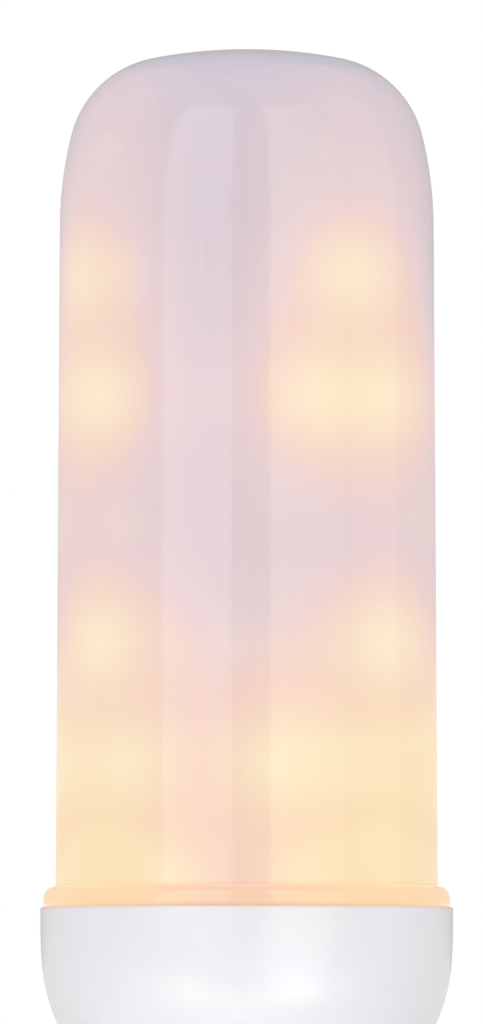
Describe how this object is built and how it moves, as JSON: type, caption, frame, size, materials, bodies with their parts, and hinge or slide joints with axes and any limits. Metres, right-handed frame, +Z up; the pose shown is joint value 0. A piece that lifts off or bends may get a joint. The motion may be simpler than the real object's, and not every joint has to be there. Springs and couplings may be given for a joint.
{
  "type": "led light bulb",
  "caption": "Tall flame-effect bulb: a milky domed tube over a ring lattice of small lamps, on a white bowl housing with a driver inside and a standard screw cap.",
  "frame": {"origin": "centre of the centre contact's flat tip, at the foot of the screw cap", "axes": "+Z up the bulb's axis from the cap to the dome, -Y towards the viewer of the picture, +X to that viewer's right"},
  "size_m": [0.0621, 0.062, 0.188],
  "materials": {
    "milky_cover": "satin, milky, lit from inside",
    "white_housing": "satin white",
    "nickel_shell": "nickel-plated, drawn",
    "black_insulator": "glassy black",
    "solder_contact": "tinned",
    "white_former": "matt white",
    "white_flex": "white solder mask on film",
    "amber_led": "amber phosphor gel",
    "green_board": "green solder mask",
    "zinc_screw": "zinc-plated",
    "black_chip": "moulded black",
    "black_sleeve": "shrink sleeve",
    "ferrite": "dark ferrite and winding",
    "red_film": "dipped resin",
    "grey_resistor": "flameproof lacquer",
    "red_wire": "insulated wire",
    "black_wire": "insulated wire"
  },
  "bodies": {
    "root": {"diffuser_cover": "milky_cover", "housing": "white_housing", "screw_cap": "nickel_shell", "cap_insulator": "black_insulator", "centre_contact": "solder_contact", "led_former": "white_former", "led_flex_board": "white_flex", "led_row_1": "amber_led", "led_row_2": "amber_led", "led_row_3": "amber_led", "led_row_4": "amber_led", "led_row_5": "amber_led", "led_row_6": "amber_led", "led_row_7": "amber_led", "former_screws": "zinc_screw", "driver_board": "green_board", "bridge_rectifier": "black_chip", "bulk_capacitor": "black_sleeve", "drum_inductor": "ferrite", "film_capacitor": "red_film", "fusible_resistor": "grey_resistor", "driver_chip": "black_chip", "flame_controller": "black_chip", "row_transistors": "black_chip", "live_wire": "red_wire", "neutral_wire": "black_wire"}
  },
  "joints": []
}
